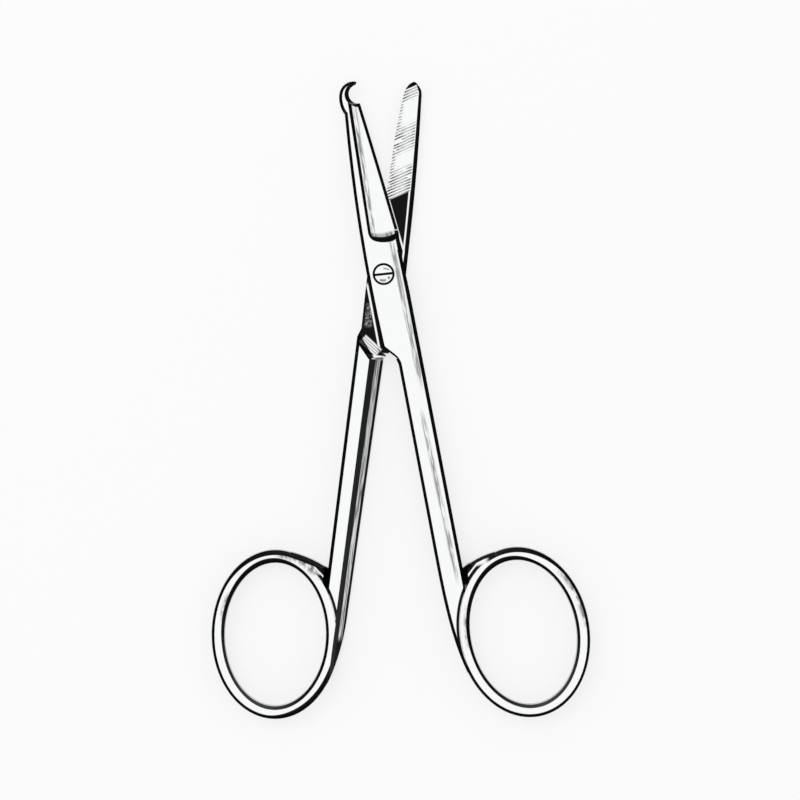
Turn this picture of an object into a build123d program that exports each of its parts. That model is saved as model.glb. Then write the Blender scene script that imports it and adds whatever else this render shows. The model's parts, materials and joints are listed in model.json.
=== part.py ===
"""Stitch scissors with a hooked blade: two forged halves lapped at a slotted pivot screw.

Millimetres. The origin is on the pivot axis, at the level that the scissors lie on. +Z points out of
the front faces and +Y towards the blade tips. Each half is drawn as it stands with the scissors shut,
and is then swung about the pivot to the pose that it rests in, part way open.
"""

import os
from build123d import *

os.makedirs("parts", exist_ok=True)

# Forging stock and joint
stock = 3.6                 # full thickness of a shank, back face to front face
joint_gap = 0.02            # between the two joint faces
rest_opening = 17.0         # degrees between the halves as they lie at rest
shut_gap = 0.22             # room between shoulders with the scissors shut
parting = stock / 2         # height of the plain half's joint face
hook_face = parting + joint_gap
cut_over = 1.0              # how far a cutter runs past a face

# Hook half, joint plate
hook_spine = 2.88           # pivot to the plate's spine edge
hook_spine_low = 2.68
hook_heel = 3.95            # pivot to the heel of the cutting edge
heel_y = 6.6
hook_waist = 3.70           # the plate draws in below the heel
hook_waist_drop = 2.9
plate_drop = 12.64          # pivot down to where the plate turns in to the shank
turn_in_round = 1.0
turn_in_cove = 2.8
turn_in_fall = 2.58         # height of the slanting stretch between them

# Hook half, blade
blade_reach = 34.15         # pivot to the blade tips
neck_x = -1.46
neck_below_tip = 5.45
beak_back_x = -1.95
beak_back_below_tip = 2.85
beak_crown = (-1.08, 0.72)  # left of the pivot line, below the tip
beak_top_x = 0.70
beak_tip_x = 1.62
beak_tip_below = 0.24
notch_radius = 1.67
notch_x = 1.52
notch_below_tip = 2.32
notch_flare = 0.36          # the notch is this much wider at the front face
notch_flare_shift = 0.38    # and its mouth there lies this far towards the back of the beak
notch_flare_depth = 0.56
beak_flat = 0.15            # from the top of the notch along to the beak's point
edge_bow = 0.06             # bow of the cutting edge
edge_thickness = 0.63       # thickness left along a cutting edge, at the tip
edge_thickness_heel = 1.08
tip_thickness = 1.15        # thickness of the spine at the blade tips
taper_start_y = 8.0         # the blades thin from here to their tips
facet_step = 0.38           # drop from the spine land to either blade's ground facet, at the heel
facet_heel_x = -0.86
facet_tip_x = 0.02
facet_heel_y = 6.04
facet_heel_sag = 0.7        # rise of the curved end of the facet towards the cutting edge
facet_corner = 1.1          # round of the facets' inner corner
facet_wall_lean = 54.0      # degrees that the facet's wall leans out

# Plain half, blade. Its spine runs on the right of the pivot line and its cutting edge on the left.
plain_spine = 3.90
plain_spine_mid = 3.72      # at the fullest part of the spine's bow
plain_spine_mid_share = 0.55
plain_spine_tip = 3.20
plain_heel_x = -2.85
plain_heel_y = 0.5          # the plate's edge starts to run in towards the cutting edge here
plain_edge_points = [(-0.92, 16.5), (-0.60, 24.5)]
plain_edge_tip = 0.12
plain_tip = 1.60
plain_tip_left = (0.62, 0.85)    # right of the pivot line, below the tip
plain_tip_right = (2.67, 0.84)
plain_tip_round = 2.2       # the tip is rounded from this far below its end
plain_tip_lean = 0.12       # the tip's curve meets the spine leaning out by this much a millimetre
tip_bevel_left = (0.35, 1.66)    # the facing side is bevelled off from this line out
tip_bevel_right = (1.82, 0.82)
tip_side_left = (2.10, 0.70)     # and past this line down its right side
tip_side_right = (2.95, 2.55)
tip_bevel_fall = 0.8        # both fall by this much in each millimetre
plain_land = 2.1            # width of the spine land on the blade's back, at the heel
plain_land_tip = 1.0        # and at the tip
ride_heel_y = 13.3          # the rubbing face ends here at the cutting edge
ride_slope = 30.0           # and climbs at this many degrees towards the spine
hollow_depth = 0.10         # the blades' facing sides are ground hollow beyond it
hollow_radius = 16.0
hollow_x = 1.3              # the hollow runs along the blade at this distance from the pivot line

# Plain half, shoulder from its joint face up to its front face
step_y = -9.8               # the outer edge steps out to the shank from here
step_drop = 1.45
ramp_left = (-1.95, -11.17)
ramp_right = (1.39, -13.61)
ramp_foot = (-0.93, -13.56)
ramp_rise = 0.45            # height of the ramp's foot over the joint face
brow_left = (-2.57, -13.25)
brow_right = (-1.11, -14.90)
plain_turn_in_y = -11.4     # the plate turns in to the shank from here
plain_turn_in_round = 1.0

# Shanks
shank_length = 66.0         # pivot down to the centre of the hook half's ring
shank_low_y = 12.9 - shank_length     # crotch between a shank and its ring
shank_run_in = 6.0          # a shank runs on into its ring by this much
shank_inner = -0.36
shank_bend_y = 22.0 - shank_length    # below this the inner edge curves into the ring
shank_outer = 3.90
shank_outer_low = 4.02
plain_outer = -3.40
plain_outer_low = -4.13
plain_crotch_rise = 0.9     # the plain half's crotch lies this much higher
plain_inner = 1.57
plain_inner_low = 0.14
plain_bend_y = 5.3 - shank_length
plain_bevel_y = -14.75      # upper end of the long bevel inside the plain shank
bevel_lip = 0.32            # its end wall leans back by this much
bevel_lip_rise = 1.0        # over this height
bevel_brow = -0.86          # front edge of the bevel at its upper end
bevel_brow_low = -1.78      # and at the bend
bevel_crease_share = 0.41   # it breaks to a flatter strip this far down its width
bevel_crease_z = 1.90
bevel_foot_z = 0.45
bevel_run_out_y = -14.0 - shank_length    # it runs out past the ring
back_bevel_land = 0.70      # thickness left in front of the hook shank's back bevel
back_bevel_width = 2.23
back_bevel_width_low = 0.95
outer_round = 1.6           # rounding of the shanks' outer edges, front and back
outer_trim = 0.55           # and what is ground off it at the side, which leaves a crisp line
edge_break = 0.55           # width of the bevels that break the front edges
outer_break = 0.68          # and of the ones along the shanks' outer edges
edge_break_slope = 0.78     # all fall by this much in each millimetre

room = shank_length + blade_reach    # reach of a cutter that takes all on one side
taper_share = (room - taper_start_y) / (blade_reach - taper_start_y)

# Finger rings
ring_band = 2.4
ring_height = 3.2
ring_crown = 0.06           # rise of the band's crowned front and back
ring_break = 0.50           # width of the bevels along its edges
ring_side_bulge = 0.10
ring_seat = 0.55            # how deep a shank is let into its ring
hook_ring_centre = (12.35, -shank_length)
hook_hole_width = 18.4
hook_hole_length = 25.3
hook_ring_tilt = 0.0
hook_merge_turn = 0.562     # where round its ring the inner edge runs out, in turns
hook_web_turn = 0.279       # where the web in the crotch runs out on the ring
plain_ring_centre = (-11.96, 1.38 - shank_length)
plain_hole_width = 17.6
plain_hole_length = 24.9
plain_ring_tilt = 5.9
plain_merge_turn = 0.914
plain_web_turn = 0.217
web_bow = 0.35              # bow of the webs' edges

# Pivot screw
head_diameter = 3.7
head_depth = 0.75
head_sink = 0.04            # the head lies this far under the hook half's face
head_chamfer = 0.22         # width of the bevel round the head
head_chamfer_fall = 0.18    # and how far it falls over it
bore_chamfer = 0.16         # and of the one round its sinking
bore_chamfer_fall = 0.13
slot_width = 0.43
slot_depth = 0.4
slot_angle = 3.75           # degrees, as the screw was last driven
shoulder_diameter = 2.6
thread_diameter = 2.2
running_clearance = 0.03    # on the radius, shoulder in the hook half's bore
head_clearance = 0.06
thread_clearance = 0.01


def share_of(start, end, share):
    """A value part of the way from start to end."""
    return start + (end - start) * share


def lean(top_x, top_y, low_x, low_y, y):
    """x at height y on the straight line through (top_x, top_y) and (low_x, low_y)."""
    return share_of(top_x, low_x, (top_y - y) / (top_y - low_y))


def plane_on(a, b, c):
    """Plane through three points, facing up."""
    first = Vector(*a)
    side = Vector(*b) - first
    normal = side.cross(Vector(*c) - first)
    if normal.Z < 0:
        normal = normal * -1
    return Plane(origin=first, x_dir=side, z_dir=normal)


def onto(plane, x, y):
    """The point of a leaning plane straight above or below (x, y), in the plane's own coordinates."""
    lean_x = plane.z_dir.X * (x - plane.origin.X)
    lean_y = plane.z_dir.Y * (y - plane.origin.Y)
    local = plane.to_local_coords(Vector(x, y, plane.origin.Z - (lean_x + lean_y) / plane.z_dir.Z))
    return (local.X, local.Y)


def across(y):
    """Plane across the scissors at y, with its own y axis pointing up."""
    return Plane(origin=(0, y, 0), x_dir=(1, 0, 0), z_dir=(0, -1, 0))


def ring_frame(centre, tilt):
    """Plane at mid thickness with its origin at a ring's centre."""
    x_dir = Vector(1, 0, 0).rotate(Axis.Z, tilt)
    return Plane(origin=(centre[0], centre[1], stock / 2), x_dir=x_dir, z_dir=(0, 0, 1))


def ring_edge(frame, hole_width, hole_length):
    """Outer edge of a finger ring, in plan."""
    with BuildLine(frame) as edge:
        EllipticalCenterArc(
            (0, 0), hole_width / 2 + ring_band, hole_length / 2 + ring_band, arc_size=360
        )
    return edge.line


def flat(vector):
    """A point or heading brought down to the drawing plane."""
    return (vector.X, vector.Y)


def make_ring(frame, hole_width, hole_length):
    """Finger ring: an oval band with crowned faces, swept in two halves."""
    with BuildPart() as ring:
        for start in (90, 270):
            with BuildLine(frame) as path:
                EllipticalCenterArc(
                    (0, 0),
                    (hole_width + ring_band) / 2,
                    (hole_length + ring_band) / 2,
                    start_angle=start,
                    arc_size=180,
                )
            outward = (path.line % 0).cross(Vector(0, 0, 1))
            with BuildSketch(Plane(origin=path.line @ 0, x_dir=outward, z_dir=path.line % 0)):
                with BuildLine():
                    top = ring_height / 2
                    brow_y = top - ring_crown
                    side_x = ring_band / 2 - ring_side_bulge
                    brow_x = side_x - ring_break
                    side_y = brow_y - ring_break * edge_break_slope
                    ThreePointArc((-brow_x, brow_y), (0, top), (brow_x, brow_y))
                    Line((brow_x, brow_y), (side_x, side_y))
                    ThreePointArc((side_x, side_y), (ring_band / 2, 0), (side_x, -side_y))
                    Line((side_x, -side_y), (brow_x, -brow_y))
                    ThreePointArc((brow_x, -brow_y), (0, -top), (-brow_x, -brow_y))
                    Line((-brow_x, -brow_y), (-side_x, -side_y))
                    ThreePointArc((-side_x, -side_y), (-ring_band / 2, 0), (-side_x, side_y))
                    Line((-side_x, side_y), (-brow_x, brow_y))
                make_face()
            sweep(path=path.line)
    return ring.part


def make_web(crotch, low, foot, centre):
    """Web that fills the crotch between a shank and its ring."""
    bow = ((crotch[0] + foot[0]) / 2, (crotch[1] + foot[1]) / 2 + web_bow)
    with BuildPart() as web:
        with BuildSketch():
            with BuildLine():
                ThreePointArc(crotch, bow, foot)
                Polyline(foot, centre, low, crotch)
            make_face()
        extrude(amount=stock)
    return web.part


def edge_bevel(edges, normal, width):
    """Cutter that bevels a run of front edges, which has the metal on its left."""
    run = Wire.combine(edges)[0]
    outward = (run % 0).cross(normal)
    fall = width * edge_break_slope
    with BuildPart() as bevel:
        with BuildSketch(Plane(origin=run @ 0, x_dir=outward, z_dir=run % 0)):
            with BuildLine():
                Polyline((-width, 0), (width, 2 * fall), (width, -fall), (-width, -fall), close=True)
            make_face()
        sweep(path=run, transition=Transition.RIGHT)
    return bevel.part


def hollow_grind(face_z, side):
    """The round of a grinding wheel's cut along a blade's facing side, beyond the rubbing face."""
    ride_plane = Plane(
        origin=(0, ride_heel_y, 0),
        x_dir=Vector(1, 0, 0).rotate(Axis.Z, ride_slope),
        z_dir=Vector(0, 1, 0).rotate(Axis.Z, ride_slope),
    )
    centre_z = face_z + side * (hollow_radius - hollow_depth)
    with BuildPart() as wheel:
        with BuildSketch(Plane(origin=(hollow_x, 0, centre_z), x_dir=(1, 0, 0), z_dir=(0, 1, 0))):
            Circle(hollow_radius)
        extrude(amount=room)
        split(bisect_by=ride_plane, keep=Keep.TOP)
    return wheel


hook_ring_frame = ring_frame(hook_ring_centre, hook_ring_tilt)
plain_ring_frame = ring_frame(plain_ring_centre, plain_ring_tilt)
hook_ring = make_ring(hook_ring_frame, hook_hole_width, hook_hole_length)
plain_ring = make_ring(plain_ring_frame, plain_hole_width, plain_hole_length)
hook_ring_edge = ring_edge(hook_ring_frame, hook_hole_width, hook_hole_length)
plain_ring_edge = ring_edge(plain_ring_frame, plain_hole_width, plain_hole_length)

# Room above the plain half's joint face: the joint plane, then a ramp and a steep brow up to its front
# face. The hook half lies in this room with the scissors shut.
ramp_plane = plane_on((*ramp_left, parting), (*ramp_right, parting), (*ramp_foot, parting + ramp_rise))
brow_plane = plane_on((*brow_left, stock), (*brow_right, stock), (*ramp_foot, parting + ramp_rise))
with BuildPart() as lap_room:
    with BuildSketch(Plane.XY.offset(parting)):
        with Locations((0, plain_bevel_y - 2 * shut_gap)):
            Rectangle(room, room, align=(Align.CENTER, Align.MIN))
    extrude(amount=stock)
    split(bisect_by=ramp_plane, keep=Keep.TOP)
    split(bisect_by=brow_plane, keep=Keep.TOP)

# What is ground off the plain blade's back, from its spine land to its cutting edge
plain_tip_y = blade_reach - plain_tip_round
plain_facet_plane = plane_on(
    (plain_heel_x, heel_y, parting - edge_thickness_heel),
    (plain_edge_tip, plain_tip_y, parting - edge_thickness),
    (plain_spine - plain_land, heel_y, facet_step),
)
with BuildPart() as plain_facet:
    with BuildSketch(Plane.XY.offset(-cut_over)):
        with BuildLine():
            FilletPolyline(
                (plain_spine_tip - plain_land_tip, blade_reach + cut_over),
                (plain_spine - plain_land, facet_heel_y),
                (-room, facet_heel_y),
                radius=facet_corner,
            )
            Polyline(
                (-room, facet_heel_y),
                (-room, blade_reach + cut_over),
                (plain_spine_tip - plain_land_tip, blade_reach + cut_over),
            )
        make_face()
    extrude(amount=stock)
    split(bisect_by=plain_facet_plane, keep=Keep.BOTTOM)

# Bevels round the tip of the plain blade's facing side
tip_bevel_planes = []
for left, right in ((tip_bevel_left, tip_bevel_right), (tip_side_left, tip_side_right)):
    start = Vector(left[0], blade_reach - left[1], parting)
    end = Vector(right[0], blade_reach - right[1], parting)
    fallen = start + Vector(0, 0, 1).cross(end - start).normalized()
    tip_bevel_planes.append(plane_on(tuple(start), tuple(end), (*flat(fallen), parting - tip_bevel_fall)))

# Plain half: a blunt blade behind, a joint plate, a shank and the ring on the other side
plain_hollow = hollow_grind(parting, 1)
with BuildPart() as plain_half:
    with BuildSketch():
        with BuildLine():
            edge = Spline(
                (plain_heel_x, plain_heel_y), *plain_edge_points, (plain_edge_tip, plain_tip_y)
            )
            tip = Spline(
                edge @ 1,
                (plain_tip_left[0], blade_reach - plain_tip_left[1]),
                (plain_tip, blade_reach),
                (plain_tip_right[0], blade_reach - plain_tip_right[1]),
                (plain_spine_tip, plain_tip_y),
                tangents=(edge % 1, (plain_tip_lean, -1)),
            )
            spine = ThreePointArc(
                tip @ 1,
                (plain_spine_mid, share_of(heel_y, plain_tip_y, plain_spine_mid_share)),
                (plain_spine, heel_y),
            )
            plate_side = FilletPolyline(
                spine @ 1,
                (plain_spine, plain_turn_in_y),
                (plain_inner, plain_bevel_y),
                (plain_inner_low, plain_bend_y),
                radius=[plain_turn_in_round, plain_turn_in_round],
            )
            merge = plain_ring_edge @ plain_merge_turn
            tail = Spline(
                plate_side @ 1,
                flat(merge),
                tangents=(plate_side % 1, flat(plain_ring_edge % plain_merge_turn * -1)),
            )
            Polyline(
                tail @ 1,
                plain_ring_centre,
                (plain_outer_low - outer_trim, shank_low_y - shank_run_in),
                (plain_outer - outer_trim, step_y - step_drop),
                (plain_outer, step_y - step_drop),
                (plain_heel_x, step_y),
                edge @ 0,
            )
        make_face()
    extrude(amount=stock)

    # outer edges of the shank, rounded front and back
    long_edges = [e for e in plain_half.edges() if e.length > shank_length / 2]
    fillet([e for e in long_edges if e.center().X < plain_outer], radius=outer_round)
    with BuildSketch():
        with BuildLine():
            Polyline(
                (plain_outer, step_y - step_drop),
                (plain_outer_low, shank_low_y - shank_run_in),
                (plain_outer_low - stock, shank_low_y - shank_run_in),
                (plain_outer - stock, step_y - step_drop),
                close=True,
            )
        make_face()
    extrude(amount=stock, mode=Mode.SUBTRACT)
    low = (plain_outer_low, shank_low_y - shank_run_in)
    crotch_y = shank_low_y + plain_crotch_rise
    crotch = (lean(plain_outer, step_y - step_drop, *low, crotch_y), crotch_y)
    add(make_web(crotch, low, flat(plain_ring_edge @ plain_web_turn), plain_ring_centre))
    add(lap_room.part, mode=Mode.SUBTRACT)

    # front edges, bevelled along the blade's spine and in the crotch
    joint_faces = [f for f in plain_half.faces() if abs(f.center().Z - parting) < joint_gap]
    joint_face = max(joint_faces, key=lambda f: f.area)
    shank_front = plain_half.faces().group_by(Axis.Z)[-1].sort_by(SortBy.AREA)[-1]
    spine_run = [e for e in joint_face.edges() if e.center().X > plain_spine_tip and e.length > stock]
    crotch_run = shank_front.edges().filter_by(GeomType.CIRCLE)
    for run in (spine_run, crotch_run):
        add(edge_bevel(run, Vector(0, 0, 1), edge_break), mode=Mode.SUBTRACT)
    outer_run = Edge.make_line((plain_outer, step_y - step_drop, stock), (*low, stock))
    add(edge_bevel([outer_run], Vector(0, 0, 1), outer_break), mode=Mode.SUBTRACT)

    # the shank is let into the ring, and a long bevel is ground along its inner side
    with BuildSketch(plain_ring_frame.offset(-stock / 2)):
        Ellipse(
            plain_hole_width / 2 + ring_band - ring_seat,
            plain_hole_length / 2 + ring_band - ring_seat,
        )
    extrude(amount=stock, mode=Mode.SUBTRACT)
    add(plain_ring)
    for y, lip, rise in (
        (plain_bevel_y + bevel_lip, bevel_lip, bevel_lip_rise),
        (plain_bevel_y, 0, 0),
        (bevel_run_out_y, 0, 0),
    ):
        brow_x = lean(bevel_brow, plain_bevel_y, bevel_brow_low, plain_bend_y, y) + lip
        foot_x = lean(plain_inner, plain_bevel_y, plain_inner_low, plain_bend_y, y) + lip
        with BuildSketch(across(y)):
            with BuildLine():
                Polyline(
                    (brow_x, stock + cut_over),
                    (brow_x, stock),
                    (share_of(brow_x, foot_x, bevel_crease_share), bevel_crease_z + rise),
                    (foot_x, bevel_foot_z + rise),
                    (foot_x + stock, bevel_foot_z + rise),
                    (foot_x + stock, stock + cut_over),
                    close=True,
                )
            make_face()
    loft(ruled=True, mode=Mode.SUBTRACT)

    # the blade's back thins towards the tip and is ground away towards the cutting edge
    with BuildSketch(Plane.YZ.offset(-room / 2)):
        with BuildLine():
            Polyline(
                (taper_start_y, 0),
                (room, share_of(0, parting - tip_thickness, taper_share)),
                (room, -cut_over),
                (taper_start_y, -cut_over),
                close=True,
            )
        make_face()
    extrude(amount=room, mode=Mode.SUBTRACT)
    add(plain_facet.part, mode=Mode.SUBTRACT)
    add(plain_hollow.part, mode=Mode.SUBTRACT)
    for plane in tip_bevel_planes:
        split(bisect_by=plane, keep=Keep.BOTTOM)
    with Locations((0, 0, parting)):
        Hole(thread_diameter / 2 + thread_clearance)

# Room below the hook half's joint face, for the plain half with the scissors shut
with BuildPart() as under_room:
    with BuildSketch(Plane.XY.offset(-cut_over)):
        with BuildLine():
            wall = Line(
                (plain_inner + shut_gap, plain_bevel_y - shut_gap),
                (plain_spine + shut_gap, plain_turn_in_y),
            )
            Polyline(
                wall @ 1,
                (room, plain_turn_in_y),
                (room, room),
                (-room, room),
                (-room, plain_bevel_y - shut_gap),
                wall @ 0,
            )
        make_face()
    extrude(amount=stock + 2 * cut_over)
    add(lap_room.part.moved(Location((shut_gap, shut_gap, joint_gap))), mode=Mode.SUBTRACT)

# What is ground off the front of the hooked blade, from its spine land to its cutting edge
notch_y = blade_reach - notch_below_tip
notch_heel = (notch_x, notch_y - notch_radius)
hook_facet_plane = plane_on(
    (hook_heel, heel_y, hook_face + edge_thickness_heel),
    (*notch_heel, hook_face + edge_thickness),
    (facet_heel_x, heel_y, stock - facet_step),
)
facet_side_y = facet_heel_y + facet_heel_sag
with BuildPart() as hook_facet:
    with BuildSketch(hook_facet_plane) as facet_outline:
        with BuildLine():
            inner_corner = onto(hook_facet_plane, facet_heel_x, facet_side_y)
            end = ThreePointArc(
                inner_corner,
                onto(hook_facet_plane, (facet_heel_x + hook_heel) / 2, facet_heel_y),
                onto(hook_facet_plane, hook_heel, facet_side_y),
            )
            Polyline(
                end @ 1,
                onto(hook_facet_plane, hook_heel + stock, facet_side_y),
                onto(hook_facet_plane, hook_heel + stock, notch_heel[1]),
                onto(hook_facet_plane, facet_tip_x, notch_heel[1]),
                end @ 0,
            )
        make_face()
        fillet(facet_outline.vertices().sort_by_distance(end @ 0)[0], radius=facet_corner)
    extrude(amount=stock, taper=-facet_wall_lean)

# Mouth of the hook's notch, wider at the front face than at the cutting side
notch_share = (notch_y - taper_start_y) / (blade_reach - taper_start_y)
notch_front = share_of(stock, parting + tip_thickness, notch_share)
with BuildPart() as notch_mouth:
    for steps in (-2, 1):
        with BuildSketch(Plane.XY.offset(notch_front + steps * notch_flare_depth)):
            with Locations((notch_x - (1 + steps) * notch_flare_shift, notch_y)):
                Circle(notch_radius + (1 + steps) * notch_flare)
    loft()

waist_y = heel_y - hook_waist_drop
hook_hollow = hollow_grind(hook_face, -1)
head_bottom = stock - head_sink - head_depth

# Hook half: the blade in front, with its hooked end, a joint plate, a shank and a ring
with BuildPart() as hook_half:
    with BuildSketch() as outline:
        with BuildLine():
            neck = (neck_x, blade_reach - neck_below_tip)
            back = ThreePointArc((-hook_spine_low, -plate_drop), (-hook_spine, heel_y / 2), neck)
            beak = Spline(
                back @ 1,
                (beak_back_x, blade_reach - beak_back_below_tip),
                (beak_crown[0], blade_reach - beak_crown[1]),
                (beak_top_x, blade_reach),
                (beak_tip_x, blade_reach - beak_tip_below),
            )
            point = Line(beak @ 1, (notch_x - beak_flat, notch_y + notch_radius))
            notch = ThreePointArc(point @ 1, (notch_x - notch_radius, notch_y), notch_heel)
            edge = ThreePointArc(
                notch @ 1,
                ((notch_heel[0] + hook_heel) / 2 + edge_bow, (notch_heel[1] + heel_y) / 2),
                (hook_heel, heel_y),
            )
            side = Polyline(
                edge @ 1,
                (hook_waist, waist_y),
                (hook_waist + outer_trim, waist_y),
                (shank_outer + outer_trim, -waist_y),
                (shank_outer_low + outer_trim, shank_low_y - shank_run_in),
                hook_ring_centre,
            )
            merge = hook_ring_edge @ hook_merge_turn
            tail = Spline(
                flat(merge),
                (shank_inner, shank_bend_y),
                tangents=(flat(hook_ring_edge % hook_merge_turn * -1), (0, 1)),
            )
            Line(side @ 1, tail @ 0)
            FilletPolyline(
                tail @ 1,
                (shank_inner, -plate_drop - turn_in_fall),
                (-hook_spine_low, -plate_drop),
                radius=turn_in_cove,
            )
        make_face()
        corner = outline.vertices().sort_by_distance((-hook_spine_low, -plate_drop, 0))[0]
        fillet(corner, radius=turn_in_round)
    extrude(amount=stock)
    long_edges = [e for e in hook_half.edges() if e.length > shank_length / 2]
    fillet([e for e in long_edges if e.center().X > shank_outer], radius=outer_round)
    with BuildSketch():
        with BuildLine():
            Polyline(
                (hook_waist, waist_y),
                (shank_outer, -waist_y),
                (shank_outer_low, shank_low_y - shank_run_in),
                (shank_outer_low + stock, shank_low_y - shank_run_in),
                (hook_waist + stock, waist_y),
                close=True,
            )
        make_face()
    extrude(amount=stock, mode=Mode.SUBTRACT)
    low = (shank_outer_low, shank_low_y - shank_run_in)
    crotch = (lean(shank_outer, -waist_y, *low, shank_low_y), shank_low_y)
    add(make_web(crotch, low, flat(hook_ring_edge @ hook_web_turn), hook_ring_centre))

    # the blade thins towards the tip
    with BuildSketch(Plane.YZ.offset(-room / 2)):
        with BuildLine():
            Polyline(
                (taper_start_y, stock),
                (room, share_of(stock, parting + tip_thickness, taper_share)),
                (room, stock + cut_over),
                (taper_start_y, stock + cut_over),
                close=True,
            )
        make_face()
    extrude(amount=room, mode=Mode.SUBTRACT)

    # front edges, bevelled down the blade's back, along the plate and the shank, and in the crotch
    plate_front = hook_half.faces().group_by(Axis.Z)[-1].sort_by(SortBy.AREA)[-1]
    blade_fronts = [f for f in hook_half.faces() if f.center().Y > heel_y and f.normal_at().Z > 0]
    blade_front = max(blade_fronts, key=lambda f: f.area)
    plate_run = [e for e in plate_front.edges() if e.center().X < shank_inner / 2]
    blade_run = [e for e in blade_front.edges() if e.center().X < neck_x / 2]
    crotch_run = [e for e in plate_front.edges().filter_by(GeomType.CIRCLE) if e.center().X > 0]
    for face, run in ((plate_front, plate_run), (blade_front, blade_run), (plate_front, crotch_run)):
        add(edge_bevel(run, face.normal_at(), edge_break), mode=Mode.SUBTRACT)
    outer_runs = [
        Edge.make_line((*low, stock), (shank_outer, -waist_y, stock)),
        Edge.make_line((shank_outer, -waist_y, stock), (hook_waist, waist_y, stock)),
    ]
    add(edge_bevel(outer_runs, Vector(0, 0, 1), outer_break), mode=Mode.SUBTRACT)

    add(under_room.part, mode=Mode.SUBTRACT)

    # the shank is let into the ring, and its back is bevelled to pass over the plain half's bevel
    with BuildSketch(hook_ring_frame.offset(-stock / 2)):
        Ellipse(
            hook_hole_width / 2 + ring_band - ring_seat,
            hook_hole_length / 2 + ring_band - ring_seat,
        )
    extrude(amount=stock, mode=Mode.SUBTRACT)
    add(hook_ring)
    for y in (plain_bevel_y, bevel_run_out_y):
        width = lean(back_bevel_width, plain_bevel_y, back_bevel_width_low, plain_bend_y, y)
        slope = (stock - back_bevel_land) / width
        with BuildSketch(across(y)):
            with BuildLine():
                Polyline(
                    (shank_inner - back_bevel_land / slope, stock),
                    (shank_inner + width + cut_over / slope, -cut_over),
                    (shank_inner - stock, -cut_over),
                    (shank_inner - stock, stock),
                    close=True,
                )
            make_face()
    loft(ruled=True, mode=Mode.SUBTRACT)

    # the blade's front is ground away towards the cutting edge, and bevelled along it
    add(hook_facet.part, mode=Mode.SUBTRACT)
    blade_faces = [f for f in hook_half.faces() if f.center().Y > heel_y]
    ground = max(blade_faces, key=lambda f: f.normal_at().dot(hook_facet_plane.z_dir))
    keen_edge = ground.edges().filter_by(GeomType.ELLIPSE).sort_by(SortBy.LENGTH)[-1]
    add(edge_bevel([keen_edge], ground.normal_at(), edge_break), mode=Mode.SUBTRACT)
    add(notch_mouth.part, mode=Mode.SUBTRACT)
    add(hook_hollow.part, mode=Mode.SUBTRACT)

    # bore for the screw's shoulder, sunk at the front for its head
    with Locations((0, 0, stock)):
        CounterBoreHole(
            radius=shoulder_diameter / 2 + running_clearance,
            counter_bore_radius=head_diameter / 2 + head_clearance,
            counter_bore_depth=stock - head_bottom + joint_gap,
        )
    with Locations((0, 0, stock)):
        Cone(
            bottom_radius=head_diameter / 2 + head_clearance - bore_chamfer,
            top_radius=head_diameter / 2 + head_clearance + bore_chamfer,
            height=2 * bore_chamfer_fall,
            mode=Mode.SUBTRACT,
        )

# Pivot screw: head in the hook half, shoulder on the joint face, thread through the plain half
with BuildPart() as pivot_screw:
    with BuildSketch(Plane.XZ):
        with BuildLine():
            Polyline(
                (0, 0),
                (thread_diameter / 2, 0),
                (thread_diameter / 2, parting),
                (shoulder_diameter / 2, parting),
                (shoulder_diameter / 2, head_bottom),
                (head_diameter / 2, head_bottom),
                (head_diameter / 2, stock - head_sink - head_chamfer_fall),
                (head_diameter / 2 - head_chamfer, stock - head_sink),
                (0, stock - head_sink),
                close=True,
            )
        make_face()
    revolve(axis=Axis.Z)
    with BuildSketch(Plane.XY.offset(stock - head_sink)):
        Rectangle(head_diameter + cut_over, slot_width, rotation=slot_angle)
    extrude(amount=-slot_depth, mode=Mode.SUBTRACT)

# Each half is swung open by its share of the rest opening
hook_half.part = hook_half.part.rotate(Axis.Z, rest_opening / 2)
plain_half.part = plain_half.part.rotate(Axis.Z, -rest_opening / 2)

hook_half.part.label = "hook_half"
export_step(hook_half.part, "parts/hook_half.step")

plain_half.part.label = "plain_half"
export_step(plain_half.part, "parts/plain_half.step")

pivot_screw.part.label = "pivot_screw"
export_step(pivot_screw.part, "parts/pivot_screw.step")
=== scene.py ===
# %% [markdown]
# # Stitch scissors in polished steel
# These cells dress a pair of stitch scissors, also called suture scissors: two forged halves, one with a
# hooked blade, that turn on a slotted screw. The shapes come from a finished CAD model. What is left to
# Blender is the finish of each surface, the light and the camera. Run the cells in order.

# %% Load the model
import json
from math import cos, radians, sin

import bpy
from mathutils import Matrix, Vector

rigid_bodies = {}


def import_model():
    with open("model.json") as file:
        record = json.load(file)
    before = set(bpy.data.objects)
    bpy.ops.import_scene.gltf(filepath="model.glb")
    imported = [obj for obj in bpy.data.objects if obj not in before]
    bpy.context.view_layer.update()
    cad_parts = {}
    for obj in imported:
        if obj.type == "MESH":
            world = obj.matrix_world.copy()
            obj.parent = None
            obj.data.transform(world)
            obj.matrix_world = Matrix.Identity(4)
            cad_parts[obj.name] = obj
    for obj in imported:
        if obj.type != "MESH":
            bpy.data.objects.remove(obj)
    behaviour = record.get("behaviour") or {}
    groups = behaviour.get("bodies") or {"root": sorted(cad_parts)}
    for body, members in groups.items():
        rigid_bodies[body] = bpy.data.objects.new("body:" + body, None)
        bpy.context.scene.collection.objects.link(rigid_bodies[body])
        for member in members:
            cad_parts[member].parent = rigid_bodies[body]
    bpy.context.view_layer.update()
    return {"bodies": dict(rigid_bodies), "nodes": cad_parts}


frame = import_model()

# %% [markdown]
# ## An empty stage
# Blender opens with a cube, a lamp and a camera. They are removed first, so that nothing in the picture is
# there by chance. Everything is measured in metres, but scissors are thought of in millimetres, so one name
# holds the size of a millimetre.

# %% Clear the stage and name the unit
MM = 0.001

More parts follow.
